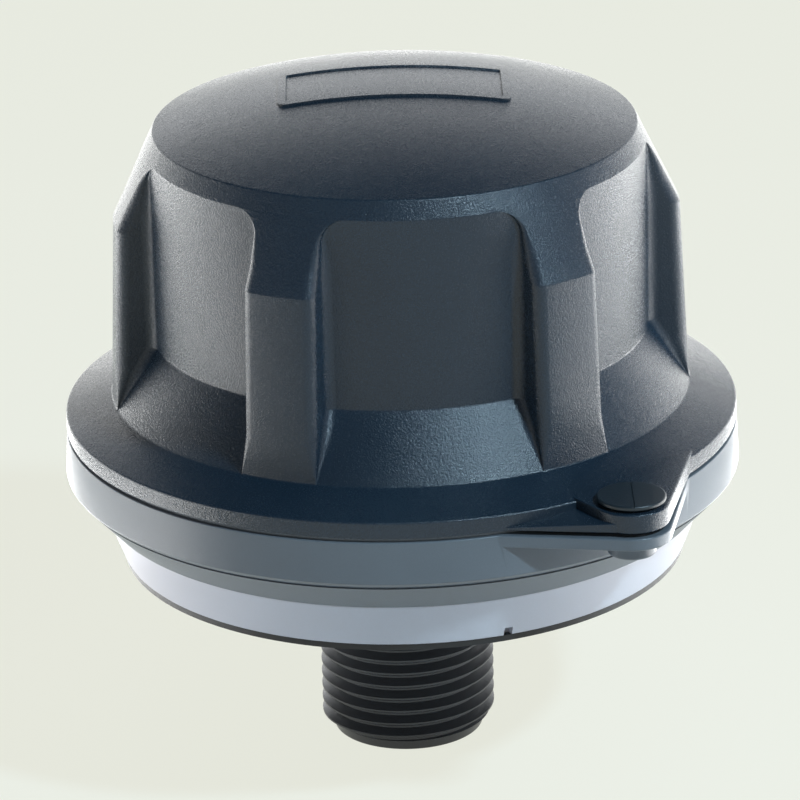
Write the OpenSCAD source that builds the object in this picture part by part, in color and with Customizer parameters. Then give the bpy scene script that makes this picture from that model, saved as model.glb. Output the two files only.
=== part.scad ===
// Tank breather vent cap with a threaded spigot, a grip cap and a replaceable pleated element.
// The origin is on the axis at the hub's sealing shoulder, +Z is up and the locking lug is on +X.

/* [Spigot] */
// Outside diameter of the spigot's thread
thread_d = 26.99; // [24:0.01:30]
// Length of the spigot below the sealing shoulder
spigot_len = 22.5; // [16:0.5:34]
// Height of the lead chamfer at the spigot's end
lead_h = 1.8; // [0.8:0.1:3]
// Radial depth of the lead chamfer
lead_depth = 1.6; // [0.6:0.1:1.8]
// Diameter of the air bore through the spigot
air_bore_d = 19; // [12:0.5:20]
// Height of the hub above the sealing shoulder
hub_h = 8.5; // [6:0.1:14]
// Radial width of the hub's rim outside the seal groove
hub_rim = 2.2; // [1.5:0.1:5]
// Radial width of the land between the thread and the seal groove
seal_land = 0.8; // [0.6:0.1:1.5]
// Radial width of the tank seal
seal_w = 1.9; // [1.2:0.1:3]
// Thickness of the tank seal, which sits flush with the shoulder
seal_t = 1.5; // [1:0.1:3]
// Wall of the stem above the hub, at the baffle seat
stem_wall = 2.4; // [1.6:0.1:4]
// Length of the stem that stands above its nut
stem_over = 2; // [1:0.1:4]
// Width of the ledge that carries the splash baffle
baffle_ledge = 2.1; // [1.2:0.1:3]
// Thickness of the splash baffle
baffle_t = 1.6; // [1:0.1:3]
// Diameter of each hole in the splash baffle
baffle_hole_d = 4.4; // [2.5:0.1:4.6]
// Height of the stem nut
nut_h = 6; // [4:0.5:10]
// Wall of the stem nut at its flats
nut_wall = 4; // [3:0.1:6]

/* [Base] */
// Thickness of the inlet grille
grille_t = 0.9; // [0.6:0.1:2]
// Diameter of each hole in the inlet grille
grille_hole_d = 2; // [1:0.1:2.4]
// Number of air inlets round the dish
inlet_count = 20; // [10:1:24]
// Radial length of each air inlet
inlet_len = 4.2; // [2.5:0.1:5]
// Width of each air inlet
inlet_w = 3; // [1.5:0.1:4]
// Diameter of the dish at its lower edge
dish_bottom_d = 87.2; // [84:0.2:92]
// Diameter of the dish at its rim
dish_top_d = 92.6; // [90:0.2:96]
// Height of the dish
dish_h = 7.3; // [6:0.1:14]
// Thickness of the dish's floor
floor_t = 2.6; // [1.6:0.1:4]
// Thickness of the dish's wall
dish_wall = 2.4; // [1.6:0.1:3]
// Width of the drain notch in the dish's lower edge
notch_w = 1.3; // [0.8:0.1:3]
// Height of the drain notch
notch_h = 1.5; // [0.8:0.1:2.4]
// Angle of the drain notch from the lug
notch_angle = -14; // [-180:1:180]

/* [Body ring] */
// Height of the coned band under the ring's widest edge
cone_h = 5.9; // [4:0.1:10]
// Height of the ring's outer band
band_h = 7; // [5:0.1:14]
// How far the ring's lower edge stands out past its upper edge
ring_draft = 0.4; // [0:0.1:1]
// Depth and height of the step that makes the parting line
parting_step = 0.6; // [0.3:0.05:1]
// Wall of the ring and its collar
ring_wall = 2.6; // [2:0.1:3]
// Height of the collar above the ring's seat
collar_h = 3.4; // [3:0.1:8]
// Section diameter of the cap's sealing ring
o_ring_d = 1.45; // [1:0.05:1.6]
// Thickness of the gasket between the ring and the dish
gasket_t = 0.9; // [0.5:0.1:1.4]

/* [Cap] */
// Diameter of the cap's brim
brim_d = 103; // [101:0.2:112]
// Height of the brim's edge band
brim_t = 2.5; // [1.8:0.1:5]
// Rise of the brim from its edge to the foot of the ribs
brim_rise = 2.6; // [1.5:0.1:5]
// Diameter over the ribs at their feet
rib_foot_d = 88.6; // [88:0.2:92]
// Diameter over the ribs at their shoulders
rib_shoulder_d = 85; // [82:0.2:88]
// Height of the ribs from the brim to their shoulders
rib_h = 28.1; // [20:0.1:50]
// Diameter of the crown's edge
crown_d = 73.2; // [72:0.2:78]
// Height of the coned band below the crown's edge
crown_h = 13.5; // [8:0.1:20]
// Rise of the dome above the crown's edge
dome_rise = 6.4; // [3:0.1:12]
// Diameter across the pocket walls
pocket_d = 75.8; // [74:0.2:80]
// Half of the angle that each pocket spans
pocket_half_angle = 22.2; // [16:0.1:25]
// Height of the ramp at the bottom of each pocket
ramp_h = 9.6; // [6:0.1:16]
// Diameter of the ramps at their feet
ramp_foot_d = 90; // [89:0.2:94]
// Number of grip pockets round the cap
pocket_count = 6; // [4:1:6]
// Wall of the cap
cap_wall = 2.6; // [1.8:0.1:3]
// Length of the hollow boss under the roof
boss_len = 13.5; // [6:0.5:24]
// Outside diameter of the hollow boss
boss_d = 24; // [16:0.5:36]

/* [Locking lug] */
// Distance of the pin's axis outside the brim
pin_reach = 5.5; // [4.5:0.1:9]
// Diameter of the pin's shank
pin_d = 5; // [3:0.1:6]
// Diameter of the pin's head
pin_head_d = 10.2; // [9:0.1:14]
// Thickness of the pin's head
pin_head_t = 0.7; // [0.5:0.1:2]
// Height of the neck between the pin's head and the ear
pin_neck_t = 0.4; // [0.2:0.1:1]
// Width of the slot across the pin's head
pin_slot_w = 0.7; // [0.4:0.1:1.2]
// Radius of the ear's round end
ear_r = 5.6; // [4.5:0.1:7]
// Thickness of the ear
ear_t = 3; // [2:0.1:5]
// Radius of the lug's round end
lug_r = 6; // [5:0.1:8]
// Thickness of the lug
lug_t = 1.9; // [1.4:0.1:3]
// Diameter of the boss under the lug
lug_boss_d = 7.2; // [6.8:0.1:10]
// Height of the boss under the lug
lug_boss_h = 2.5; // [1:0.1:3]
// Angle from the pin to where the lug's edges leave the ring
lug_angle = 22; // [15:1:35]
// Angle from the pin to where the ear's web leaves the brim
web_angle = 25; // [15:1:35]

/* [Filter element] */
// Radial air gap between the element and the cap's pocket walls
element_gap = 1.5; // [1:0.1:4]
// Thickness of the element's end caps
end_cap_t = 2.2; // [1.2:0.1:4]
// Height of the rims that hold the pleats
end_rim_h = 1.8; // [1:0.1:4]
// Wall of the element's perforated core
core_t = 1.2; // [0.8:0.1:2]
// Diameter of each hole in the core
core_hole_d = 6; // [3:0.2:8]
// Number of pleats
pleat_count = 48; // [24:1:60]
// Thickness of the pleated medium
medium_t = 1; // [0.6:0.1:1.6]
// Thickness of the seal under the element
element_seal_t = 1.5; // [1:0.1:3]
// Thickness of the pad on the element
pad_t = 3; // [1.5:0.1:6]

/* [Hidden] */
$fn = 96;

// Clearances
loose_gap = 0.2;
sliding_gap = 0.5;
pin_gap = 0.1;
seal_gap = 0.05;
o_ring_gap = 0.025;
// Room between the stem nut's corners and the element
nut_room = 1;
// Overshoot of a cut past the face it leaves
over = 1;

// Levels up the axis
z_dish = hub_h + grille_t;
z_floor = z_dish + floor_t;
z_ring = z_dish + dish_h;
z_edge = z_ring + cone_h;
z_cap = z_edge + band_h;
z_collar = z_cap + collar_h;
z_mouth = z_collar + sliding_gap;
z_brim = z_cap + brim_t;
z_foot = z_brim + brim_rise;
z_pocket = z_foot + ramp_h;
z_shoulder = z_foot + rib_h;
z_crown = z_shoulder + crown_h;
z_apex = z_crown + dome_rise;
z_above = z_apex + dome_rise;
z_stem = z_floor + nut_h + stem_over;
z_lower_cap = z_floor + element_seal_t;
z_boss = z_apex - cap_wall - boss_len;
z_upper_cap = z_boss - pad_t;
z_medium = z_lower_cap + end_cap_t;
z_medium_top = z_upper_cap - end_cap_t;

// Spigot radii
thread_r = thread_d / 2;
air_bore_r = air_bore_d / 2;
seal_in_r = thread_r + seal_land;
seal_out_r = seal_in_r + seal_w;
hub_r = seal_out_r + hub_rim;
baffle_r = air_bore_r + baffle_ledge;
stem_r = baffle_r + stem_wall;
nut_corner_r = (stem_r + nut_wall) / cos(30);

// Cap radii
brim_r = brim_d / 2;
rib_foot_r = rib_foot_d / 2;
rib_shoulder_r = rib_shoulder_d / 2;
crown_r = crown_d / 2;
pocket_r = pocket_d / 2;
ramp_foot_r = ramp_foot_d / 2;
dome_r = (crown_r * crown_r + dome_rise * dome_rise) / (2 * dome_rise);
crown_slope = (rib_shoulder_r - crown_r) / crown_h;
above_r = crown_r - (z_above - z_crown) * crown_slope;
z_ramp_foot = z_foot - (ramp_foot_r - rib_foot_r) * brim_rise / (brim_r - rib_foot_r);
ramp_slope = (ramp_foot_r - pocket_r) / (z_pocket - z_ramp_foot);
ramp_shift = cap_wall * sqrt(1 + ramp_slope * ramp_slope);
side_wall_angle = asin(cap_wall / rib_shoulder_r);

// Ring and dish radii
ring_edge_r = brim_r + ring_draft;
ring_inner_r = brim_r - ring_wall;
dish_top_r = dish_top_d / 2;
dish_bottom_r = dish_bottom_d / 2;
ring_seat_r = dish_top_r + loose_gap;
cone_slope = (ring_edge_r - ring_seat_r) / cone_h;
cone_shift = ring_wall * sqrt(1 + cone_slope * cone_slope);
collar_r = rib_foot_r - cap_wall - loose_gap;
collar_in_r = collar_r - ring_wall;
mouth_r = collar_r + sliding_gap;
// Locating lip under the ring, clear of the dish's wall
lip_t = 2.4;
lip_h = 2;
lip_room = 1;
lip_out_r = dish_top_r - dish_wall - lip_room;
lip_in_r = lip_out_r - lip_t;
// Gasket groove over the dish's rim, and the land outside it
gasket_land = 0.6;
gasket_in_r = dish_top_r - dish_wall + loose_gap;
gasket_out_r = dish_top_r - gasket_land;
groove_depth = 1.2;
groove_r = collar_r - groove_depth;
groove_w = o_ring_d + 2 * loose_gap;
z_groove = z_cap + (collar_h - groove_w) / 2;

// Locking lug
pin_r = pin_d / 2;
pin_x = brim_r + pin_reach;
pin_hole_r = pin_r + pin_gap;
// How far the pin's head stands out past its neck
pin_head_over = 0.9;
pin_neck_r = pin_head_d / 2 - pin_head_over;
z_lug = z_cap - parting_step;
z_lug_boss = z_lug - lug_t - lug_boss_h;
z_ear = z_cap + ear_t;
// Depth by which the ear and the lug are rooted in the brim and the ring
root = 1.5;
// Depth by which their straight edges run inside their round ends
edge_inset = 0.05;

// Filter element radii
element_r = pocket_r - cap_wall - element_gap;
element_in_r = nut_corner_r + nut_room;
end_rim_t = 0.8;
core_in_r = element_in_r + end_rim_t + loose_gap;
core_out_r = core_in_r + core_t;
medium_in_r = core_out_r + loose_gap;
medium_out_r = element_r - end_rim_t - loose_gap;

// Radius of the dish's outside at a level
function dish_r(z) = dish_bottom_r + (dish_top_r - dish_bottom_r) * (z - z_dish) / dish_h;

// Air inlets, inside a land at the foot of the dish's wall
inlet_land = 3;
inlet_in_r = dish_r(z_floor) - dish_wall - inlet_land - inlet_len;

// Inside face of a pocket's ramp at a level
function ramp_inside_r(z) = ramp_foot_r - ramp_shift - (z - z_ramp_foot) * ramp_slope;

// Point at a radius and an angle
function polar(r, angle) = [r * cos(angle), r * sin(angle)];

// Where a line from a point touches a circle; side is 1 or -1
function touch(from, centre, r, side) =
  let (reach = norm(from - centre), base = atan2(from[1] - centre[1], from[0] - centre[0]))
  centre + polar(r, base + side * acos(r / reach));

// Ring of rectangular section between two radii
module ring(r_in, r_out, z, h) {
  translate([0, 0, z])
    difference() {
      cylinder(r = r_out, h = h);
      translate([0, 0, -over]) cylinder(r = r_in, h = h + 2 * over);
    }
}

// Wedges about the axis, one for each grip pocket, midway between the ribs
module pocket_wedges(half_angle) {
  reach = 2 * brim_r;
  for (i = [0 : pocket_count - 1])
    rotate([0, 0, (i + 0.5) * 360 / pocket_count])
      linear_extrude(height = z_above + over)
        polygon([[0, 0], [reach, -reach * tan(half_angle)], [reach, reach * tan(half_angle)]]);
}

// Outside of the cap: domed crown, coned shoulder and drafted ribs over a sloping brim
module cap_outside() {
  z_root = z_cap + brim_t / 2;
  rib_root_r = rib_foot_r + (z_foot - z_root) * (rib_foot_r - rib_shoulder_r) / rib_h;
  ramp_root_r = ramp_foot_r + (z_ramp_foot - z_root + over) * ramp_slope;
  brim_slope = brim_rise / (brim_r - rib_foot_r);
  z_under_crown = z_foot + (rib_foot_r - crown_r) * brim_slope;
  difference() {
    intersection() {
      rotate_extrude()
        polygon([
          [0, z_root], [rib_root_r, z_root], [rib_shoulder_r, z_shoulder], [above_r, z_above],
          [0, z_above]
        ]);
      translate([0, 0, z_apex - dome_r]) sphere(r = dome_r);
    }
    intersection() {
      rotate_extrude()
        polygon([
          [pocket_r, z_pocket], [ramp_root_r, z_root - over], [brim_r + over, z_root - over],
          [brim_r + over, z_above], [pocket_r, z_above]
        ]);
      pocket_wedges(pocket_half_angle);
    }
  }
  rotate_extrude()
    polygon([
      [0, z_cap], [brim_r, z_cap], [brim_r, z_brim], [crown_r, z_under_crown], [0, z_foot]
    ]);
}

// Space inside the cap, which follows the ribs and pockets at an even wall
module cap_inside() {
  wall_r = pocket_r - cap_wall;
  z_wall = z_ramp_foot + (ramp_foot_r - ramp_shift - wall_r) / ramp_slope;
  difference() {
    intersection() {
      rotate_extrude()
        polygon([
          [0, z_cap - over], [mouth_r, z_cap - over], [mouth_r, z_mouth],
          [rib_foot_r - cap_wall, z_mouth], [rib_shoulder_r - cap_wall, z_shoulder],
          [above_r - cap_wall, z_above], [0, z_above]
        ]);
      translate([0, 0, z_apex - dome_r]) sphere(r = dome_r - cap_wall);
    }
    intersection() {
      rotate_extrude()
        polygon([
          [wall_r, z_wall], [ramp_inside_r(z_mouth), z_mouth], [brim_r, z_mouth],
          [brim_r, z_above], [wall_r, z_above]
        ]);
      pocket_wedges(pocket_half_angle + side_wall_angle);
    }
  }
}

// Flat plate with a round end on the pin's axis, rooted in the rim behind it
module pin_plate(outline, end_r, z, t) {
  translate([0, 0, z])
    difference() {
      linear_extrude(height = t)
        union() {
          polygon(outline);
          translate([pin_x, 0]) circle(r = end_r);
        }
      translate([0, 0, -over]) cylinder(r = brim_r - root, h = t + 2 * over);
    }
}

// Ear on the brim: a straight inner side and a long tangent web on the other
module ear() {
  centre = [pin_x, 0];
  web = polar(brim_r - root / 2, web_angle);
  pin_plate(
    [
      [brim_r - 2 * root, edge_inset - ear_r], [pin_x, edge_inset - ear_r], centre,
      touch(web, centre, ear_r - edge_inset, -1), web
    ],
    ear_r, z_cap, ear_t
  );
}

// Grip cap, moulded in one with its roof boss and its locking ear
module cap() {
  core_w = 5.1;
  core_out = ring_inner_r - loose_gap;
  core_in = core_out - core_w;
  edge_wall = 1.5;
  color("#262c32")
    difference() {
      union() {
        difference() {
          cap_outside();
          cap_inside();
          // Core under the brim that keeps its section even
          rotate_extrude()
            polygon([
              [core_in, z_cap - over], [core_out, z_cap - over], [core_out, z_brim - edge_wall],
              [core_in, z_foot - cap_wall]
            ]);
        }
        ear();
        ring(boss_d / 2 - cap_wall, boss_d / 2, z_boss, boss_len);
      }
      translate([pin_x, 0, z_cap - over]) cylinder(r = pin_hole_r, h = ear_t + 2 * over);
    }
}

// Body ring, moulded in one with its collar, locking lug and lug boss
module body_ring() {
  centre = [pin_x, 0];
  foot = polar(brim_r - root / 2, lug_angle);
  other_foot = polar(brim_r - root / 2, -lug_angle);
  z_channel = z_ring + ring_wall;
  floor_in_r = min(collar_in_r, lip_in_r);
  // Inside face of the coned wall, from the seat up
  cone_in_r = ring_seat_r - cone_shift;
  channel_h = z_cap - z_channel + over;
  color("#596067")
    difference() {
      union() {
        rotate_extrude()
          difference() {
            union() {
              polygon([
                [collar_in_r, z_ring], [ring_seat_r, z_ring], [ring_edge_r, z_edge], [brim_r, z_lug],
                [brim_r - parting_step, z_lug], [brim_r - parting_step, z_cap], [collar_r, z_cap],
                [collar_r, z_collar], [collar_in_r, z_collar]
              ]);
              translate([floor_in_r, z_ring]) square([collar_r - floor_in_r, ring_wall]);
              translate([lip_in_r, z_ring - lip_h]) square([lip_t, lip_h + ring_wall / 2]);
            }
            // Channel between the collar and the outer wall
            intersection() {
              translate([collar_r, z_channel]) square([ring_inner_r - collar_r, channel_h]);
              polygon([
                [0, z_ring], [cone_in_r, z_ring],
                [cone_in_r + (z_cap + over - z_ring) * cone_slope, z_cap + over], [0, z_cap + over]
              ]);
            }
          }
        pin_plate(
          [
            other_foot, touch(other_foot, centre, lug_r - edge_inset, 1), centre,
            touch(foot, centre, lug_r - edge_inset, -1), foot
          ],
          lug_r, z_lug - lug_t, lug_t
        );
        translate([pin_x, 0, z_lug_boss]) cylinder(d = lug_boss_d, h = lug_boss_h + lug_t / 2);
      }
      ring(groove_r, collar_r + over, z_groove, groove_w);
      ring(gasket_in_r, gasket_out_r, z_ring - over, over + gasket_t);
      translate([pin_x, 0, z_lug_boss - over])
        cylinder(r = pin_hole_r, h = lug_t + lug_boss_h + 2 * over);
    }
}

// Light-coloured dish with a ring of air inlets in its floor and a drain notch in its edge
module base_dish() {
  color("#aeb2b9")
    difference() {
      rotate_extrude()
        polygon([
          [stem_r + loose_gap, z_dish], [dish_bottom_r, z_dish], [dish_top_r, z_ring],
          [dish_top_r - dish_wall, z_ring], [dish_r(z_floor) - dish_wall, z_floor],
          [stem_r + loose_gap, z_floor]
        ]);
      for (i = [0 : inlet_count - 1])
        rotate([0, 0, i * 360 / inlet_count])
          translate([inlet_in_r, -inlet_w / 2, z_dish - over])
            cube([inlet_len, inlet_w, floor_t + 2 * over]);
      rotate([0, 0, notch_angle])
        translate([dish_bottom_r - dish_wall / 2, -notch_w / 2, z_dish - over])
          cube([2 * dish_wall, notch_w, notch_h + over]);
    }
}

// Perforated plate under the inlets, clamped between the hub and the dish
module inlet_grille() {
  plate_r = dish_bottom_r - loose_gap;
  rows = 2;
  color("#15171a")
    difference() {
      ring(stem_r + loose_gap, plate_r, hub_h, grille_t);
      for (row = [0 : rows - 1], side = [-1, 1], i = [0 : inlet_count - 1])
        rotate([0, 0, i * 360 / inlet_count + side * 90 / inlet_count])
          translate([inlet_in_r + (row + 0.5) * inlet_len / rows, 0, hub_h - over])
            cylinder(d = grille_hole_d, h = grille_t + 2 * over, $fn = 24);
    }
}

// Threaded spigot with its hub, stem and through bore
module threaded_spigot() {
  color("#1b1e21")
    difference() {
      rotate_extrude()
        polygon([
          [air_bore_r, -spigot_len], [thread_r - lead_depth, -spigot_len],
          [thread_r, lead_h - spigot_len], [thread_r, 0], [hub_r, 0], [hub_r, hub_h],
          [stem_r, hub_h], [stem_r, z_stem], [baffle_r, z_stem], [baffle_r, z_stem - baffle_t],
          [air_bore_r, z_stem - baffle_t]
        ]);
      ring(seal_in_r, seal_out_r, -over, over + seal_t);
    }
}

// Hexagon nut on the stem that clamps the dish and the grille to the hub
module spigot_nut() {
  flat_r = stem_r + nut_wall;
  bevel_slope = 0.5;
  z_top = z_floor + nut_h;
  color("#24282c")
    difference() {
      intersection() {
        translate([0, 0, z_floor]) cylinder(r = nut_corner_r, h = nut_h, $fn = 6);
        rotate_extrude()
          polygon([
            [0, z_floor], [nut_corner_r + over, z_floor],
            [nut_corner_r + over, z_top - (nut_corner_r + over - flat_r) * bevel_slope],
            [flat_r, z_top], [0, z_top]
          ]);
      }
      translate([0, 0, z_floor - over]) cylinder(r = stem_r + pin_gap, h = nut_h + 2 * over);
    }
}

// Flat seal in the hub's face
module tank_seal() {
  color("#101112") ring(seal_in_r + seal_gap, seal_out_r - seal_gap, 0, seal_t);
}

// Perforated disc in the top of the stem that keeps splashed oil off the element
module splash_baffle() {
  around = 6;
  web = 1.4;
  circle_r = air_bore_r - web - baffle_hole_d / 2;
  color("#33383d")
    difference() {
      translate([0, 0, z_stem - baffle_t]) cylinder(r = baffle_r - pin_gap, h = baffle_t);
      for (i = [0 : around - 1])
        rotate([0, 0, i * 360 / around])
          translate([circle_r, 0, z_stem - baffle_t - over])
            cylinder(d = baffle_hole_d, h = baffle_t + 2 * over, $fn = 32);
    }
}

// Sealing ring in the collar's groove
module cap_o_ring() {
  color("#101112")
    translate([0, 0, z_groove + groove_w / 2])
      rotate_extrude()
        translate([groove_r + o_ring_d / 2 + o_ring_gap, 0]) circle(d = o_ring_d, $fn = 24);
}

// Flat gasket between the ring and the dish's rim
module ring_gasket() {
  color("#101112")
    ring(gasket_in_r + loose_gap, gasket_out_r - loose_gap, z_ring, gasket_t);
}

// Outline of a folded sheet, out to one radius at each crest and in to another at each root
module pleats(r_root, r_crest) {
  polygon([
    for (i = [0 : 2 * pleat_count - 1]) polar(i % 2 == 0 ? r_crest : r_root, i * 180 / pleat_count)
  ]);
}

// Pleated medium
module filter_media() {
  fold = medium_t * 2;
  color("#d9cfae")
    translate([0, 0, z_medium])
      linear_extrude(height = z_medium_top - z_medium)
        difference() {
          pleats(medium_in_r + fold, medium_out_r);
          pleats(medium_in_r, medium_out_r - fold);
        }
}

// Perforated tube that carries the pleats
module filter_core() {
  around = 12;
  web = 3.6;
  height = z_medium_top - z_medium;
  rows = floor(height / (core_hole_d + web));
  color("#8b9096")
    difference() {
      ring(core_in_r, core_out_r, z_medium, height);
      for (row = [0 : rows - 1], i = [0 : around - 1])
        rotate([0, 0, i * 360 / around])
          translate([core_in_r - over, 0, z_medium + (row + 0.5) * height / rows])
            rotate([0, 90, 0]) cylinder(d = core_hole_d, h = core_t + 2 * over, $fn = 32);
    }
}

// Channel-shaped end cap under the pleats
module lower_end_cap() {
  color("#3b4147")
    rotate_extrude()
      polygon([
        [element_in_r, z_lower_cap], [element_r, z_lower_cap], [element_r, z_medium + end_rim_h],
        [element_r - end_rim_t, z_medium + end_rim_h], [element_r - end_rim_t, z_medium],
        [element_in_r + end_rim_t, z_medium], [element_in_r + end_rim_t, z_medium + end_rim_h],
        [element_in_r, z_medium + end_rim_h]
      ]);
}

// Closed end cap over the pleats
module upper_end_cap() {
  color("#3b4147")
    rotate_extrude()
      polygon([
        [0, z_medium_top], [element_r - end_rim_t, z_medium_top],
        [element_r - end_rim_t, z_medium_top - end_rim_h], [element_r, z_medium_top - end_rim_h],
        [element_r, z_upper_cap], [0, z_upper_cap]
      ]);
}

// Soft ring that seals the element on the dish's floor
module element_seal() {
  color("#101112") ring(element_in_r + end_rim_t, element_r - end_rim_t, z_floor, element_seal_t);
}

// Soft disc through which the cap's boss holds the element down
module element_pad() {
  margin = 2;
  color("#2b2b2b") translate([0, 0, z_upper_cap]) cylinder(d = boss_d + 2 * margin, h = pad_t);
}

// Pin through the ear and the lug, with a slotted flat head on a short neck
module locking_pin() {
  slot_depth = pin_head_t / 2;
  color("#2a3036")
    difference() {
      translate([pin_x, 0, 0])
        union() {
          translate([0, 0, z_lug_boss]) cylinder(r = pin_r, h = z_ear - z_lug_boss + pin_neck_t);
          translate([0, 0, z_ear]) cylinder(r = pin_neck_r, h = pin_neck_t);
          translate([0, 0, z_ear + pin_neck_t]) cylinder(d = pin_head_d, h = pin_head_t);
        }
      translate([pin_x, 0, z_ear + pin_neck_t + pin_head_t - slot_depth])
        translate([-pin_head_d, -pin_slot_w / 2, 0]) cube([2 * pin_head_d, pin_slot_w, over]);
    }
}

cap();
body_ring();
base_dish();
inlet_grille();
threaded_spigot();
spigot_nut();
tank_seal();
splash_baffle();
cap_o_ring();
ring_gasket();
filter_media();
filter_core();
lower_end_cap();
upper_end_cap();
element_seal();
element_pad();
locking_pin();
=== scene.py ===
import math

import bmesh
import bpy
from mathutils import Matrix, Vector


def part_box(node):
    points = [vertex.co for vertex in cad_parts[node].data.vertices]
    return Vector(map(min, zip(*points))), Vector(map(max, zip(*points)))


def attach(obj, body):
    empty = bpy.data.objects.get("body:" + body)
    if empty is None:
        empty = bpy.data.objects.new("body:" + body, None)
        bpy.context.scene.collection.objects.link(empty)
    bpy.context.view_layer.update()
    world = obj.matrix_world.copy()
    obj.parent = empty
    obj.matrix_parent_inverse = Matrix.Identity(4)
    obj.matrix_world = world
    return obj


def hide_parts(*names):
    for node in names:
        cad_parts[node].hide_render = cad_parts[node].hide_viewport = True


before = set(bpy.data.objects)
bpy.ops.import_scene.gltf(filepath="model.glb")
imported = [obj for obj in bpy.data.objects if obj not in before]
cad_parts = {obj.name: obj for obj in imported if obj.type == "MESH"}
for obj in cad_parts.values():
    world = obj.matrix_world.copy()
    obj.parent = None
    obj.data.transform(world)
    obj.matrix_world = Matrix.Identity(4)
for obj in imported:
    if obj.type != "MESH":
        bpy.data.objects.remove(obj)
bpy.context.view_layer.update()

# Pieces are shaped in millimetres and brought to metres when they are finished.
MM = 0.001
TURN = 2 * math.pi


def low(node):
    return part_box(node)[0] / MM


def high(node):
    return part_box(node)[1] / MM


# Levels up the axis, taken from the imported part
Z_END = low("threaded_spigot").z
Z_STEM = high("threaded_spigot").z
Z_DISH = low("base_dish").z
Z_RING = high("base_dish").z
Z_CAP = low("cap").z
Z_APEX = high("cap").z
Z_COLLAR = high("body_ring").z
Z_PIN = low("locking_pin").z
Z_HEAD = high("locking_pin").z
EDGE_R = -low("body_ring").x
PIN_X = (low("locking_pin").x + high("locking_pin").x) / 2

# Cap
BRIM_R = 51.5
BRIM_T = 2.5
FOOT_R = 44.3
Z_FOOT = Z_CAP + 5.1
SHOULDER_R = 43.0
Z_SHOULDER = Z_FOOT + 28.1
CROWN_R = 36.6
Z_CROWN = Z_SHOULDER + 13.5
POCKET_R = 37.9
Z_POCKET = Z_FOOT + 9.6
POCKET_HALF = 22.2
RAMP_R = 45.0
POCKETS = 6
WALL = 2.6
EDGE_FILLET = 1.8
ROOT_FILLET = 1.7
TOP_CORNER = 3.5
PAD_RISE = 0.35
PAD_CENTRE = (-2.0, 1.45)
PAD_TURN = math.radians(55)
HOLLOW_IN, HOLLOW_OUT = 43.6, 48.7

# Ear on the cap, and the pin's head over it
EAR_R = 5.6
EAR_T = 3.0
RIM_IN = 0.75
WEB_TURN = 23
GUSSET_TURN = -21
GUSSET_SLOPE = 0.085
PIN_R = 2.5
PIN_HOLE_R = 2.6
NECK_IN = 0.9
NECK_T = 0.4
HEAD_T = 0.7
SLOT_TURN = math.radians(-35)

# Ring and lug
STEP = 0.6
Z_EDGE = Z_RING + 5.9
LUG_R = 5.98
LUG_T = 1.9
LUG_TURN = 22
BOSS_R = 3.6
GASKET_IN, GASKET_OUT, GASKET_T = 44.1, 45.7, 0.9
LIP_W = 2.4

# Dish
DISH_FOOT_R = 43.6
DISH_WALL = 2.4
DISH_FLOOR = 2.6
STEM_HOLE_R = 14.2
INLETS = 20
INLET_R = 37.06
INLET_SIZE = (4.2, 3, 6)
NOTCH_SIZE = (4.8, 1.3, 3)
NOTCH_TURN = math.radians(-15.5)

# Spigot
THREAD_R = 13.495
PITCH = 25.4 / 12
BORE_R = 9.5
HUB_R = 18.395
HUB_H = 8.5
STEM_R = 14
BAFFLE_R, BAFFLE_T = 11.6, 1.6
SEAL_IN, SEAL_OUT, SEAL_T = 14.295, 16.195, 1.5


def rounded(corners, segments=4):
    """Profile through corners (r, z, radius), with an arc at each corner that has a radius."""
    line = []
    for i, (r, z, radius) in enumerate(corners):
        here = Vector((r, z))
        if not radius:
            line.append(here)
            continue
        back = (Vector(corners[i - 1][:2]) - here).normalized()
        on = (Vector(corners[(i + 1) % len(corners)][:2]) - here).normalized()
        half = back.angle(on) / 2
        reach = radius / math.tan(half)
        centre = here + (back + on).normalized() * radius / math.sin(half)
        start, end = here + back * reach - centre, here + on * reach - centre
        for k in range(segments + 1):
            line.append(centre + start.slerp(end, k / segments) * radius)
    return line


def draw(shape, profile, closed):
    """Edges through a profile's points in the XZ plane."""
    verts = [shape.verts.new((p[0], 0, p[1])) for p in profile]
    pairs = list(zip(verts, verts[1:]))
    if closed:
        pairs.append((verts[-1], verts[0]))
    edges = [shape.edges.new(pair) for pair in pairs]
    return verts + edges


def sweep(shape, profile, start, angle, steps):
    """Turns an open profile about the axis from one angle through another."""
    geom = draw(shape, profile, False)
    verts = [v for v in geom if isinstance(v, bmesh.types.BMVert)]
    bmesh.ops.rotate(shape, cent=(0, 0, 0), matrix=Matrix.Rotation(start, 3, "Z"), verts=verts)
    bmesh.ops.spin(shape, geom=geom, cent=(0, 0, 0), axis=(0, 0, 1), angle=angle, steps=steps)


def lathe(profile, closed=True, steps=192):
    shape = bmesh.new()
    geom = draw(shape, profile, closed)
    bmesh.ops.spin(
        shape, geom=geom, cent=(0, 0, 0), axis=(0, 0, 1), angle=TURN, steps=steps, use_merge=True
    )
    return tidy(shape)


def tidy(shape, gap=1e-4):
    bmesh.ops.remove_doubles(shape, verts=shape.verts, dist=gap)
    bmesh.ops.dissolve_degenerate(shape, edges=shape.edges, dist=gap / 10)
    bmesh.ops.recalc_face_normals(shape, faces=shape.faces)
    return shape


def filled(shape):
    """Closes a shape's open edges."""
    bmesh.ops.holes_fill(shape, edges=[e for e in shape.edges if e.is_boundary], sides=0)
    bmesh.ops.recalc_face_normals(shape, faces=shape.faces)
    return shape


def soften(shape, width, angle, segments=3):
    """Rounds every edge that turns by more than an angle."""
    limit = math.radians(angle)
    edges = [e for e in shape.edges if e.is_manifold and e.calc_face_angle() > limit]
    bmesh.ops.bevel(
        shape, geom=edges, offset=width, offset_type="OFFSET", affect="EDGES", segments=segments,
        profile=0.5, material=-1, clamp_overlap=True,
    )
    return shape


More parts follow.
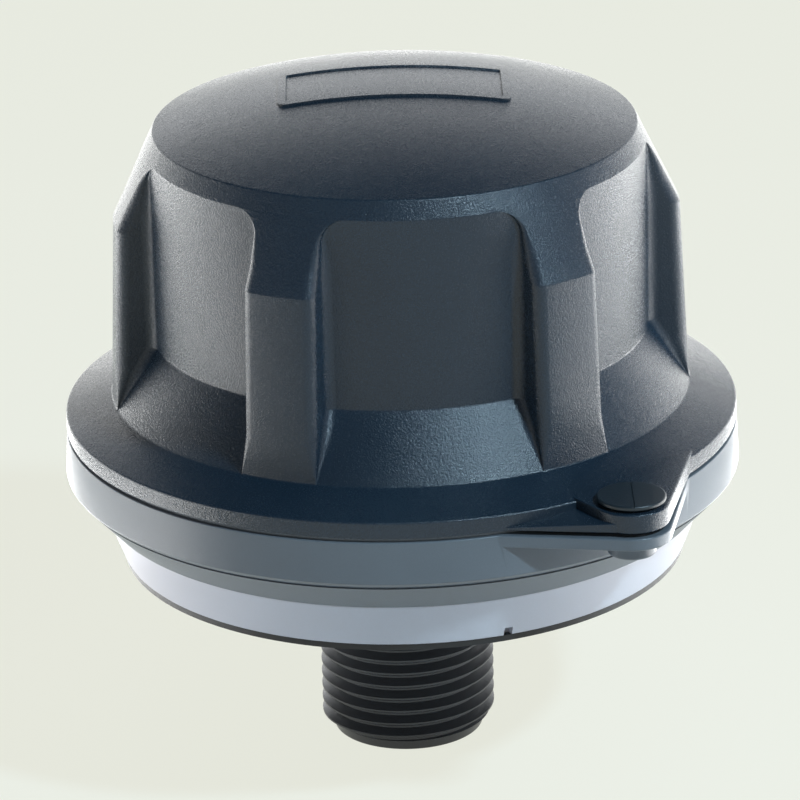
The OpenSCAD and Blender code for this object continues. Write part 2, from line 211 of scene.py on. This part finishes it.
def block(size, centre, turn=0.0):
    shape = bmesh.new()
    place = Matrix.Rotation(turn, 4, "Z") @ Matrix.Translation(centre) @ Matrix.Diagonal((*size, 1))
    bmesh.ops.create_cube(shape, size=1, matrix=place)
    return shape


def rod(radius, z0, z1, x=0.0, steps=64):
    shape = bmesh.new()
    bmesh.ops.create_cone(
        shape, cap_ends=True, segments=steps, radius1=radius, radius2=radius, depth=z1 - z0,
        matrix=Matrix.Translation((x, 0, (z0 + z1) / 2)),
    )
    return shape


def plate(radius, z0, z1, feet, edge):
    """Flat plate with a round end on the pin's axis and straight sides to its feet."""
    shape = rod(radius, z0, z1, PIN_X, 96)
    for x, y in feet:
        for z in (z0, z1):
            shape.verts.new((x, y, z))
    hull = bmesh.ops.convex_hull(shape, input=shape.verts)
    spare = set(hull["geom_unused"] + hull["geom_interior"])
    bmesh.ops.delete(shape, geom=list(spare), context="VERTS")
    bmesh.ops.dissolve_limit(shape, angle_limit=0.01, verts=shape.verts, edges=shape.edges)
    tidy(shape)
    return soften(shape, edge, 30)


def stand_in(shape):
    mesh = bpy.data.meshes.new("shape")
    shape.to_mesh(mesh)
    shape.free()
    piece = bpy.data.objects.new("shape", mesh)
    bpy.context.scene.collection.objects.link(piece)
    return piece


def applied(whole, parts=()):
    """The shape of a stand-in with its modifiers, after which it and its cutters are removed."""
    bpy.context.view_layer.update()
    graph = bpy.context.evaluated_depsgraph_get()
    mesh = bpy.data.meshes.new_from_object(whole.evaluated_get(graph))
    result = bmesh.new()
    result.from_mesh(mesh)
    for used in [whole, *parts]:
        old = used.data
        bpy.data.objects.remove(used)
        bpy.data.meshes.remove(old)
    bpy.data.meshes.remove(mesh)
    return result


def combined(shape, *steps):
    """Joins other shapes to a shape or cuts them from it, in order."""
    whole = stand_in(shape)
    parts = []
    for how, other in steps:
        part = stand_in(other)
        cut = whole.modifiers.new(how, "BOOLEAN")
        cut.operation, cut.solver, cut.object = how, "EXACT", part
        parts.append(part)
    return filled(tidy(applied(whole, parts), 1e-3))


def piece(name, shape, finish, body, slot, *nodes, crease=32):
    """A finished piece on its body, in place of the nodes it stands for."""
    bmesh.ops.transform(shape, matrix=Matrix.Scale(MM, 4), verts=shape.verts)
    mesh = bpy.data.meshes.new(name)
    shape.to_mesh(mesh)
    shape.free()
    mesh.shade_smooth()
    mesh.set_sharp_from_angle(angle=math.radians(crease))
    mesh.materials.append(finish)
    made = bpy.data.objects.new(name, mesh)
    bpy.context.scene.collection.objects.link(made)
    even = made.modifiers.new("even_shading", "WEIGHTED_NORMAL")
    even.keep_sharp = True
    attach(made, body)
    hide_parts(*nodes)


# Finishes

class Field:
    """A socket in a finish, with the sums that the finishes use."""

    def __init__(self, tree, socket):
        self.tree, self.socket = tree, socket

    def node(self, kind, settings, sockets, out=0):
        made = self.tree.nodes.new(kind)
        for key, value in settings.items():
            setattr(made, key, value)
        for key, value in sockets.items():
            if isinstance(value, Field):
                self.tree.links.new(value.socket, made.inputs[key])
            else:
                made.inputs[key].default_value = value
        return Field(self.tree, made.outputs[out])

    def sum(self, operation, a, b):
        return self.node("ShaderNodeMath", {"operation": operation}, {0: a, 1: b})

    def __add__(self, other):
        return self.sum("ADD", self, other)

    def __radd__(self, other):
        return self.sum("ADD", other, self)

    def __sub__(self, other):
        return self.sum("SUBTRACT", self, other)

    def __rsub__(self, other):
        return self.sum("SUBTRACT", other, self)

    def __mul__(self, other):
        return self.sum("MULTIPLY", self, other)

    def __rmul__(self, other):
        return self.sum("MULTIPLY", other, self)

    def noise(self, scale, detail=2.0, rough=0.5):
        sockets = {"Vector": self, "Scale": scale, "Detail": detail, "Roughness": rough}
        return self.node("ShaderNodeTexNoise", {}, sockets, "Fac")

    def blend(self, one, other):
        sockets = {"Factor": self, 6: (*one, 1), 7: (*other, 1)}
        return self.node("ShaderNodeMix", {"data_type": "RGBA"}, sockets, 2)

    def band(self, low, high, interpolation="LINEAR"):
        """0 below one value and 1 above another."""
        sockets = {"Value": self, "From Min": low, "From Max": high}
        return self.node("ShaderNodeMapRange", {"interpolation_type": interpolation}, sockets)


def begin(name):
    made = bpy.data.materials.new(name)
    made.use_nodes = True
    tree = made.node_tree
    shader = tree.nodes["Principled BSDF"]
    place = Field(tree, tree.nodes.new("ShaderNodeTexCoord").outputs["Object"])
    return made, place, shader


def wear(place, shader, colour, rough, height, strength, depth):
    """Sets a finish's colour, roughness and relief."""
    tree = place.tree
    sockets = {"Strength": strength, "Distance": depth, "Height": height}
    relief = place.node("ShaderNodeBump", {}, sockets)
    tree.links.new(colour.socket, shader.inputs["Base Color"])
    tree.links.new(rough.socket, shader.inputs["Roughness"])
    tree.links.new(relief.socket, shader.inputs["Normal"])


RELIEF = 0.0001


def moulded(name, dark, light, rough, grain, relief):
    """Moulded plastic or rubber: broad shade, grain from the tool, and a slightly uneven gloss."""
    made, place, shader = begin(name)
    broad = place.noise(45, 3)
    fine = place.noise(grain, 3, 0.6)
    pits = place.noise(grain * 0.45, 2, 0.5).band(0.35, 0.7)
    shade = (broad * 0.6 + fine * 0.4).band(0.3, 0.7)
    gloss = rough + (fine - 0.5) * 0.14 + (broad - 0.5) * 0.1
    wear(place, shader, shade.blend(dark, light), gloss, fine * 0.9 + pits * 0.1, relief, RELIEF)
    return made


cap_finish = moulded(
    "spark_eroded_black", (0.008, 0.018, 0.031), (0.014, 0.027, 0.042), 0.27, 3800, 0.95
)
ring_finish = moulded(
    "fine_dark_grey", (0.1, 0.116, 0.134), (0.124, 0.141, 0.16), 0.36, 5600, 0.25
)
dish_finish = moulded(
    "smooth_light_grey", (0.49, 0.48, 0.515), (0.535, 0.525, 0.56), 0.42, 3600, 0.1
)
spigot_finish = moulded(
    "satin_black", (0.04, 0.043, 0.049), (0.05, 0.054, 0.06), 0.32, 2600, 0.05
)
pin_finish = moulded(
    "smooth_black", (0.011, 0.018, 0.024), (0.018, 0.026, 0.033), 0.36, 4200, 0.3
)
grille_finish = moulded(
    "matte_black", (0.008, 0.009, 0.01), (0.015, 0.016, 0.018), 0.55, 2400, 0.12
)
end_cap_finish = moulded(
    "matte_dark_grey", (0.042, 0.047, 0.052), (0.058, 0.064, 0.071), 0.52, 2400, 0.12
)
rubber_finish = moulded(
    "dull_rubber", (0.007, 0.007, 0.008), (0.013, 0.013, 0.014), 0.7, 1500, 0.2
)


def pleated_paper():
    made, place, shader = begin("pleated_paper")
    drawn = place.node("ShaderNodeMapping", {}, {"Vector": place, "Scale": (1, 1, 0.25)})
    fibre = drawn.noise(2600, 5, 0.7)
    cloud = place.noise(120, 3)
    shade = (fibre * 0.7 + cloud * 0.3).band(0.3, 0.7)
    colour = shade.blend((0.58, 0.5, 0.33), (0.74, 0.67, 0.49))
    wear(place, shader, colour, 0.8 + (fibre - 0.5) * 0.2, fibre, 0.35, RELIEF)
    return made


def plated_steel():
    made, place, shader = begin("plated_steel")
    drawn = place.node("ShaderNodeMapping", {}, {"Vector": place, "Scale": (0.06, 0.06, 1)})
    lines = drawn.noise(5200, 3, 0.6)
    cloud = place.noise(90, 3)
    shader.inputs["Metallic"].default_value = 1
    shade = (lines * 0.5 + cloud * 0.5).band(0.3, 0.7)
    colour = shade.blend((0.4, 0.41, 0.42), (0.5, 0.51, 0.52))
    wear(place, shader, colour, 0.28 + lines * 0.18, lines, 0.1, RELIEF / 2)
    return made


paper_finish = pleated_paper()
steel_finish = plated_steel()


# Grip cap

def grip_form(top, rib, pocket, bottom, pocket_half):
    """Closed form with ribs and pockets in turn. Rows run from the apex to the axis below."""
    shape = bmesh.new()
    half = math.radians(pocket_half)
    span = TURN / POCKETS
    corner = math.radians(3.6)
    for i in range(POCKETS):
        sweep(shape, top + rib + bottom, i * span - span / 2 + half, span - 2 * half, 6)
        start = (i + 0.5) * span - half
        sweep(shape, top + pocket + bottom, start, corner, 1)
        sweep(shape, top + pocket + bottom, start + corner, 2 * (half - corner), 22)
        sweep(shape, top + pocket + bottom, start + 2 * half - corner, corner, 1)
    return filled(tidy(shape))


def dome(radius, centre_z, r0, r1, steps):
    return [
        (r, centre_z + math.sqrt(radius * radius - r * r))
        for r in (r0 + (r1 - r0) * k / steps for k in range(steps + 1))
    ]


rise = Z_APEX - PAD_RISE - Z_CROWN
dome_r = (CROWN_R ** 2 + rise ** 2) / (2 * rise)
dome_z = Z_APEX - PAD_RISE - dome_r
crown_slope = (SHOULDER_R - CROWN_R) / (Z_CROWN - Z_SHOULDER)
brim_slope = (Z_FOOT - Z_CAP - BRIM_T) / (BRIM_R - FOOT_R)
z_ramp = Z_FOOT - (RAMP_R - FOOT_R) * brim_slope
ramp_slope = (RAMP_R - POCKET_R) / (Z_POCKET - z_ramp)
z_pocket_top = Z_CROWN - (POCKET_R - CROWN_R) / crown_slope

HALF_PERIOD = TURN / POCKETS / 2
RIB_HALF = HALF_PERIOD - math.radians(POCKET_HALF)


def grip_point(kind, t, outer, inner, turn):
    """Angle from a rib's middle, and radius, along a section of half a rib and half a pocket."""
    depth = max(outer - inner, 0)
    edge, root = min(EDGE_FILLET, depth * 0.5), min(ROOT_FILLET, depth * 0.45)
    edge_run, root_run = (max(r, 0.12) / max(outer, 5) for r in (edge, root))
    bend = t * math.pi / 2
    if kind == "rib":
        return t * (turn - edge_run), outer
    if kind == "edge":
        return turn - edge_run * (1 - math.sin(bend)), outer - edge * (1 - math.cos(bend))
    if kind == "root":
        return turn + root_run * (1 - math.cos(bend)), inner + root * (1 - math.sin(bend))
    start = turn + root_run
    return start + t * (HALF_PERIOD - start), inner


def level_r(line, z):
    """Radius of a profile that runs downwards, at a level."""
    for (r0, z0), (r1, z1) in zip(line, line[1:]):
        if z1 <= z <= z0 and z0 > z1:
            return r1 + (r0 - r1) * (z - z1) / (z0 - z1)


def cap_outside():
    """Outer skin of the cap: a grid with one row for each level and one column for each angle."""
    crown = [(r, z, 0) for r, z in dome(dome_r, dome_z, 0, CROWN_R, 12)[:-1]]
    crown.append((CROWN_R, Z_CROWN, 0.45))
    brim = [
        (FOOT_R, Z_FOOT, 0.45), (BRIM_R, Z_CAP + BRIM_T, 0.4), (BRIM_R, Z_CAP, 0.1), (0, Z_CAP, 0),
    ]
    ribs = rounded(crown + [(SHOULDER_R, Z_SHOULDER, 0.45)] + brim)
    pockets = rounded(crown + [(POCKET_R, z_pocket_top, 0.4), (POCKET_R, Z_POCKET, 0.6)] + brim)
    z_high, z_low = Z_CROWN - 1, Z_FOOT - 0.5
    levels = {round(p.y, 4) for p in ribs + pockets}
    levels |= {round(z_low + k * 1.6, 4) for k in range(26)}
    levels |= {round(z_pocket_top - TOP_CORNER * k / 10, 4) for k in range(11)}
    between = [z for z in sorted(levels, reverse=True) if z_low < z < z_high]
    rows = [(r, r, z) for r, z in ribs if z >= z_high]
    rows += [(level_r(ribs, z), level_r(pockets, z), z) for z in between]
    rows += [(r, r, z) for r, z in ribs if z <= z_low]
    half = [("rib", k / 3) for k in range(3)] + [("edge", k / 5) for k in range(6)]
    half += [("root", k / 5) for k in range(6)] + [("pocket", k / 11) for k in range(1, 12)]
    period = [(1, *place) for place in half] + [(-1, *place) for place in half[-2:0:-1]]
    columns, last_row = len(period) * POCKETS, len(rows) - 1

    shape = bmesh.new()
    bmesh.ops.create_grid(shape, x_segments=columns, y_segments=last_row, size=0.5)
    for v in shape.verts:
        column = round((v.co.x + 0.5) * columns)
        outer, inner, z = rows[round((v.co.y + 0.5) * last_row)]
        lift = min(max(z - z_pocket_top + TOP_CORNER, 0), TOP_CORNER)
        turn = RIB_HALF + (TOP_CORNER - math.sqrt(TOP_CORNER ** 2 - lift ** 2)) / POCKET_R
        number, place = divmod(column, len(period))
        side, kind, t = period[place]
        angle, r = grip_point(kind, t, outer, inner, turn)
        if side < 0:
            angle = 2 * HALF_PERIOD - angle
        angle += number * 2 * HALF_PERIOD
        v.co = (r * math.cos(angle), r * math.sin(angle), z)
    return tidy(shape, 2e-3)


def cap_inside():
    """Hollow of the cap, which leaves an even wall and a boss under the roof."""
    z_mouth = Z_COLLAR + 0.5
    mouth_r = FOOT_R - WALL + 0.3
    rib_draft = (FOOT_R - SHOULDER_R) / (Z_SHOULDER - z_mouth)
    ramp_in_r = RAMP_R - WALL * math.hypot(1, ramp_slope)
    wall_r = POCKET_R - WALL
    z_wall = z_ramp + (ramp_in_r - wall_r) / ramp_slope
    z_heel = (ramp_in_r + z_ramp * ramp_slope - FOOT_R + WALL - z_mouth * rib_draft)
    z_heel /= ramp_slope - rib_draft
    heel_r = FOOT_R - WALL - (z_heel - z_mouth) * rib_draft
    boss_r, z_boss = 12.0, Z_APEX - WALL - 13.5
    inner_r = dome_r - WALL
    crown_in_r = CROWN_R - WALL * 0.85
    roof = dome(inner_r, dome_z, 0, boss_r - WALL, 3)
    roof += [(boss_r - WALL, z_boss), (boss_r, z_boss)]
    roof += dome(inner_r, dome_z, boss_r, crown_in_r, 8)
    z_crown_in = roof[-1][1]
    lean = (SHOULDER_R - WALL - crown_in_r) / (z_crown_in - Z_SHOULDER)
    roof.append((wall_r, z_crown_in - (wall_r - crown_in_r) / lean))
    return grip_form(
        roof,
        [(SHOULDER_R - WALL, Z_SHOULDER)],
        [(wall_r, z_wall)],
        [
            (heel_r, z_heel), (FOOT_R - WALL, z_mouth), (mouth_r, z_mouth), (mouth_r, Z_CAP - 1),
            (0, Z_CAP - 1),
        ],
        POCKET_HALF + math.degrees(math.asin(WALL / SHOULDER_R)),
    )


def crown_pad():
    """Plain raised panel with a narrow frame, which follows the dome."""
    length, width, corner, depth = 35.0, 16.5, 2.2, 2.0
    frame_w, field_rise, edge = 1.2, 0.05, 0.12
    shape = bmesh.new()
    bmesh.ops.create_grid(shape, x_segments=24, y_segments=12, size=0.5)
    bmesh.ops.scale(shape, vec=(length, width, 1), verts=shape.verts)
    under = bmesh.ops.extrude_face_region(shape, geom=shape.faces[:], use_keep_orig=True)
    sunk = [v for v in under["geom"] if isinstance(v, bmesh.types.BMVert)]
    bmesh.ops.translate(shape, vec=(0, 0, -depth), verts=sunk)
    bmesh.ops.recalc_face_normals(shape, faces=shape.faces)
    corners = [
        e for e in shape.edges
        if abs(e.verts[0].co.z - e.verts[1].co.z) > depth / 2 and e.calc_face_angle() > 1
    ]
    bmesh.ops.bevel(
        shape, geom=corners, offset=corner, offset_type="OFFSET", affect="EDGES", segments=6,
        profile=0.5, material=-1, clamp_overlap=True,
    )
    panel = [f for f in shape.faces if f.normal.z > 0.9]
    for step, sink in ((frame_w, 0), (edge, field_rise - PAD_RISE)):
        bmesh.ops.inset_region(shape, faces=panel, thickness=step, depth=sink, use_even_offset=True)
    soften(shape, edge, 40, 2)
    place = Matrix.Translation((*PAD_CENTRE, 0)) @ Matrix.Rotation(PAD_TURN, 4, "Z")
    bmesh.ops.transform(shape, matrix=place, verts=shape.verts)
    for v in shape.verts:
        v.co.z += dome_z + math.sqrt((dome_r + PAD_RISE) ** 2 - v.co.x ** 2 - v.co.y ** 2)
    return shape


def on_rim(turn):
    """Point just inside the brim's edge, at an angle from the pin."""
    r, a = BRIM_R - RIM_IN, math.radians(turn)
    return r * math.cos(a), r * math.sin(a)


def ear_gusset():
    """Low web on the side of the ear that has no full web. It slopes down to the rim."""
    z_bottom, z_tip = Z_CAP + 0.06, Z_CAP + 0.4
    tip = on_rim(GUSSET_TURN)
    shape = plate(EAR_R - 0.3, z_bottom, z_tip, [tip, (BRIM_R - 4, 0)], 0.15)
    for v in shape.verts:
        if v.co.z > (z_bottom + z_tip) / 2:
            v.co.z += GUSSET_SLOPE * (v.co.y - tip[1])
    return shape


ear_feet = [(BRIM_R - 3, 0.05 - EAR_R), on_rim(WEB_TURN), (BRIM_R - 4, 8)]
under_brim = lathe([
    (HOLLOW_IN, Z_CAP - 1), (HOLLOW_OUT, Z_CAP - 1), (HOLLOW_OUT, Z_CAP + 1),
    (HOLLOW_IN, Z_FOOT - WALL),
])
cap = combined(
    cap_outside(),
    ("UNION", crown_pad()),
    ("UNION", plate(EAR_R, Z_CAP + 0.02, Z_CAP + EAR_T, ear_feet, 0.3)),
    ("UNION", ear_gusset()),
    ("DIFFERENCE", cap_inside()),
    ("DIFFERENCE", under_brim),
    ("DIFFERENCE", rod(PIN_HOLE_R, Z_CAP - 1, Z_CAP + EAR_T + 1, PIN_X)),
)
piece("grip_cap", cap, cap_finish, "cap", "cap_nylon", "cap")


# Body ring

def ring_profile():
    """Section of the ring: lip, coned band, upright band, channel and collar."""
    seat_r, inner_r, collar_r = high("base_dish").x + 0.2, BRIM_R - WALL, FOOT_R - WALL - 0.2
    slope = (EDGE_R - seat_r) / (Z_EDGE - Z_RING)
    shift = WALL * math.hypot(1, slope)
    z_channel = Z_RING + WALL
    z_wall = Z_RING + (inner_r - seat_r + shift) / slope
    lip_r, z_lip = high("base_dish").x - 3.4, low("body_ring").z
    z_seal, seal_h, seal_in_r = Z_CAP + 0.775, 1.85, collar_r - 1.2
    groove = [
        (seat_r + (Z_EDGE - down - Z_RING) * slope - deep, Z_EDGE - down, 0)
        for down, deep in ((1.2, 0), (1.1, 0.3), (0.7, 0.3), (0.6, 0))
    ]
    return rounded([
        (lip_r - LIP_W, z_lip, 0.3), (lip_r, z_lip, 0.3), (lip_r, Z_RING, 0),
        (GASKET_IN, Z_RING, 0), (GASKET_IN, Z_RING + GASKET_T, 0),
        (GASKET_OUT, Z_RING + GASKET_T, 0), (GASKET_OUT, Z_RING, 0),
        (seat_r, Z_RING, 0.2), *groove, (EDGE_R, Z_EDGE, 0.3),
        (BRIM_R, Z_CAP - STEP, 0.25), (BRIM_R - STEP, Z_CAP - STEP, 0), (BRIM_R - STEP, Z_CAP, 0),
        (inner_r, Z_CAP, 0.3), (inner_r, z_wall, 1.5),
        (seat_r - shift + WALL * slope, z_channel, 1), (collar_r, z_channel, 1),
        (collar_r, z_seal, 0.1), (seal_in_r, z_seal, 0.15),
        (seal_in_r, z_seal + seal_h, 0.15), (collar_r, z_seal + seal_h, 0.1),
        (collar_r, Z_COLLAR, 0.4), (collar_r - WALL, Z_COLLAR, 0.4),
        (collar_r - WALL, Z_RING, 0), (lip_r - LIP_W, Z_RING, 0),
    ])


lug_sides = on_rim(-LUG_TURN), on_rim(LUG_TURN)
lug_feet = [(x - inward, y) for x, y in lug_sides for inward in (0, 1)]
z_lug = Z_CAP - STEP
ring = combined(
    lathe(ring_profile()),
    ("UNION", plate(LUG_R, z_lug - LUG_T, z_lug - 0.02, lug_feet, 0.25)),
    ("UNION", soften(rod(BOSS_R, Z_PIN, z_lug - LUG_T / 2, PIN_X), 0.5, 60)),
    ("DIFFERENCE", rod(PIN_HOLE_R, Z_PIN - 1, Z_CAP + 1, PIN_X)),
)
piece("body_ring_moulding", ring, ring_finish, "base", "ring_nylon", "body_ring")


# Dish

dish_top_r = high("base_dish").x
z_floor = Z_DISH + DISH_FLOOR
flare = (dish_top_r - DISH_FOOT_R) * (z_floor - Z_DISH) / (Z_RING - Z_DISH)
dish = lathe(rounded([
    (STEM_HOLE_R, Z_DISH, 0.2), (DISH_FOOT_R, Z_DISH, 0.5),
    (dish_top_r, Z_RING, 0.25), (dish_top_r - DISH_WALL, Z_RING, 0.25),
    (DISH_FOOT_R + flare - DISH_WALL, z_floor, 1), (STEM_HOLE_R, z_floor, 0.2),
]))
inlets = bmesh.new()
inlet = Matrix.Translation((INLET_R, 0, Z_DISH + DISH_FLOOR / 2))
for i in range(INLETS):
    place = Matrix.Rotation(i * TURN / INLETS, 4, "Z") @ inlet @ Matrix.Diagonal((*INLET_SIZE, 1))
    bmesh.ops.create_cube(inlets, size=1, matrix=place)
notch = block(NOTCH_SIZE, (DISH_FOOT_R + 1.2, 0, Z_DISH), NOTCH_TURN)
dish = combined(dish, ("DIFFERENCE", inlets), ("DIFFERENCE", notch))
piece("light_dish", dish, dish_finish, "base", "dish_plastic", "base_dish")


# Spigot

def thread_rod():
    """Rod with a right-handed V thread, longer than the spigot at both ends."""
    root_r = THREAD_R - 0.375 * PITCH / math.tan(math.radians(30))
    tooth = [
        (root_r, 0), (root_r, PITCH / 8), (THREAD_R, PITCH / 2), (THREAD_R, PITCH * 5 / 8),
        (root_r, PITCH),
    ]
    turns, steps = 13, 72
    shape = bmesh.new()
    geom = draw(shape, [(r, z + Z_END - 2 * PITCH) for r, z in tooth], False)
    bmesh.ops.spin(
        shape, geom=geom, cent=(0, 0, 0), axis=(0, 0, 1), dvec=(0, 0, PITCH / steps),
        angle=TURN * turns, steps=turns * steps,
    )
    bmesh.ops.remove_doubles(shape, verts=shape.verts, dist=1e-3)
    for z, up in ((Z_END - 0.3, -1), (0.5, 1)):
        bmesh.ops.bisect_plane(
            shape, geom=shape.verts[:] + shape.edges[:] + shape.faces[:], plane_co=(0, 0, z),
            plane_no=(0, 0, up), clear_outer=True,
        )
    return filled(shape)


envelope = lathe(rounded([
    (0, Z_END, 0), (THREAD_R - 1.9, Z_END, 0.3), (THREAD_R - 1.6, Z_END + 1.5, 0),
    (THREAD_R, Z_END + 2.5, 0.15), (THREAD_R, 0.4, 0), (0, 0.4, 0),
]), closed=False)
z_baffle = Z_STEM - BAFFLE_T
hub = lathe(rounded([
    (0, 0, 0), (HUB_R, 0, 0.3), (HUB_R, HUB_H, 0.3), (STEM_R, HUB_H, 0), (STEM_R, Z_STEM, 0.3),
    (BAFFLE_R, Z_STEM, 0), (BAFFLE_R, z_baffle, 0), (BORE_R, z_baffle, 0), (0, z_baffle, 0),
]), closed=False)
seal_groove = lathe([(SEAL_IN, -1), (SEAL_OUT, -1), (SEAL_OUT, SEAL_T), (SEAL_IN, SEAL_T)])
spigot = combined(
    thread_rod(),
    ("INTERSECT", envelope),
    ("UNION", hub),
    ("DIFFERENCE", seal_groove),
    ("DIFFERENCE", rod(BORE_R, Z_END - 1, Z_STEM + 1)),
)
piece("spigot_with_thread", spigot, spigot_finish, "base", "spigot_nylon", "threaded_spigot")


# Locking pin

head_r = (high("locking_pin").x - low("locking_pin").x) / 2
neck_r = head_r - NECK_IN
z_neck = Z_HEAD - HEAD_T - NECK_T
pin = lathe(rounded([
    (0, Z_PIN, 0), (PIN_R, Z_PIN, 0.4), (PIN_R, z_neck, 0),
    (neck_r, z_neck, 0.1), (neck_r, z_neck + NECK_T, 0),
    (head_r, z_neck + NECK_T, 0.2), (head_r, Z_HEAD, 0.3), (0, Z_HEAD, 0),
]), closed=False, steps=96)
slot = block((2.5 * head_r, 0.5, 0.3), (0, 0, Z_HEAD), SLOT_TURN)
pin = combined(pin, ("DIFFERENCE", slot))
bmesh.ops.translate(pin, vec=(PIN_X, 0, 0), verts=pin.verts)
piece("locking_pin_moulding", pin, pin_finish, "pin", "cap_nylon", "locking_pin")


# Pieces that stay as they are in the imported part
kept = {
    "inlet_grille": grille_finish, "splash_baffle": grille_finish, "spigot_nut": spigot_finish,
    "tank_seal": rubber_finish, "cap_o_ring": rubber_finish, "ring_gasket": rubber_finish,
    "element_seal": rubber_finish, "element_pad": rubber_finish, "filter_media": paper_finish,
    "filter_core": steel_finish, "lower_end_cap": end_cap_finish, "upper_end_cap": end_cap_finish,
}
for name, finish in kept.items():
    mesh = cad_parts[name].data
    mesh.materials.clear()
    mesh.materials.append(finish)


# Stage

VIEW = 54.5
ELEVATION = 21.0
ROLL = math.radians(-1.4)
DISTANCE = 0.78
PIXEL = 1 / 800
PAPER = (0.885, 0.9, 0.8)
BOUNCE = (0.84, 0.86, 0.88)


def towards(azimuth, elevation):
    a, e = math.radians(azimuth), math.radians(elevation)
    return Vector((math.sin(a) * math.cos(e), -math.cos(a) * math.cos(e), math.sin(e)))


def floor_finish(colour, bounce, shown):
    """Pale paper that keeps a soft shadow and shows its own colour to the camera."""
    made, place, shader = begin("pale_floor")
    tree = place.tree
    shader.inputs["Base Color"].default_value = (*bounce, 1)
    shader.inputs["Roughness"].default_value = 0.9
    shader.inputs["Specular IOR Level"].default_value = 0
    glow = place.node("ShaderNodeEmission", {}, {"Color": (*colour, 1), "Strength": 1.0})
    seen = place.node("ShaderNodeLightPath", {}, {}, "Is Camera Ray")
    mirrored = place.node("ShaderNodeLightPath", {}, {}, "Is Glossy Ray")
    share = (seen + mirrored) * shown
    paper = Field(tree, shader.outputs[0])
    mix = place.node("ShaderNodeMixShader", {}, {0: share, 1: paper, 2: glow})
    tree.links.new(mix.socket, tree.nodes["Material Output"].inputs["Surface"])
    return made


ground = bmesh.new()
level = Matrix.Translation((0, 0, Z_END * MM))
bmesh.ops.create_grid(ground, x_segments=1, y_segments=1, size=4, matrix=level)
mesh = bpy.data.meshes.new("floor")
ground.to_mesh(mesh)
ground.free()
mesh.materials.append(floor_finish(PAPER, BOUNCE, 0.86))
floor = bpy.data.objects.new("floor", mesh)
bpy.context.scene.collection.objects.link(floor)


def studio(front, sides, top):
    """White surroundings: bright low down at the sides and back, dimmer in front and overhead."""
    world = bpy.data.worlds.new("studio")
    bpy.context.scene.world = world
    world.use_nodes = True
    tree = world.node_tree
    way = Field(tree, tree.nodes.new("ShaderNodeTexCoord").outputs["Generated"])
    height = way.node("ShaderNodeSeparateXYZ", {}, {0: way}, "Z")
    sockets = {0: way, 1: towards(VIEW, 0)}
    facing = way.node("ShaderNodeVectorMath", {"operation": "DOT_PRODUCT"}, sockets, "Value")
    over = (height + (1 - facing * facing) * 0.4).band(0.3, 0.75, "SMOOTHSTEP")
    before = facing.band(-0.15, 0.85, "SMOOTHSTEP")
    around = sides + (front - sides) * before
    light = around + (top - around) * over
    tree.links.new(light.socket, tree.nodes["Background"].inputs["Strength"])
    tree.nodes["Background"].inputs["Color"].default_value = (0.97, 0.99, 1, 1)


studio(0.55, 2.0, 0.05)


def lamp(name, place, azimuth, tilt, width, height, power, colour=(1, 1, 1)):
    """Soft lamp that faces the axis from an azimuth, tilted up. The camera doesn't see it."""
    data = bpy.data.lights.new(name, "AREA")
    data.shape, data.size, data.size_y = "RECTANGLE", width, height
    data.energy, data.color = power, colour
    made = bpy.data.objects.new(name, data)
    bpy.context.scene.collection.objects.link(made)
    made.location = place
    made.rotation_euler = (math.radians(90 + tilt), 0, math.radians(azimuth))
    made.visible_camera = False


# White boards on the table: those with a tilt of 90 lie flat, the others lean towards the object
TABLE = Vector((0, 0, Z_END + 1)) * MM
for name, side, reach, tilt, width, depth, power in (
    ("left_near_board", -110, 0.108, 90, 0.22, 0.045, 0.28),
    ("right_near_board", 110, 0.108, 90, 0.22, 0.045, 0.26),
    ("left_board", -105, 0.391, 80, 0.45, 0.225, 2.6),
    ("right_board", 105, 0.391, 80, 0.45, 0.225, 3.3),
    ("back_board", 180, 0.369, 80, 0.8, 0.18, 1.0),
    ("far_board", 180, 0.95, 90, 2.0, 0.9, 8.0),
):
    raised = Vector((0, 0, depth / 2 * math.cos(math.radians(tilt))))
    place = TABLE + raised + towards(VIEW + side, 0) * reach
    lamp(name, place, VIEW + side, tilt, width, depth, power)

# Small cool lamp high on the right
side, up = 46, 48
place = towards(VIEW + side, up) * 0.9
lamp("right_key", place, VIEW + side, -up, 0.07, 0.07, 6.6, (0.6, 0.84, 1))

# Camera
aim = Vector((0, 0, Z_CAP + BRIM_T)) * MM
back = towards(VIEW, ELEVATION)
lens = bpy.data.cameras.new("photo_view")
lens.sensor_width, lens.lens = 36, 228.0
lens.shift_x, lens.shift_y = -1.1 * PIXEL, -4.5 * PIXEL
lens.clip_start, lens.clip_end = 0.05, 20
camera = bpy.data.objects.new("photo_view", lens)
bpy.context.scene.collection.objects.link(camera)
camera.location = aim + back * DISTANCE
level = (-back).to_track_quat("-Z", "Y").to_matrix()
camera.rotation_mode = "QUATERNION"
camera.rotation_quaternion = (Matrix.Rotation(ROLL, 3, back) @ level).to_quaternion()
bpy.context.scene.camera = camera
bpy.context.scene.view_settings.view_transform = "Standard"
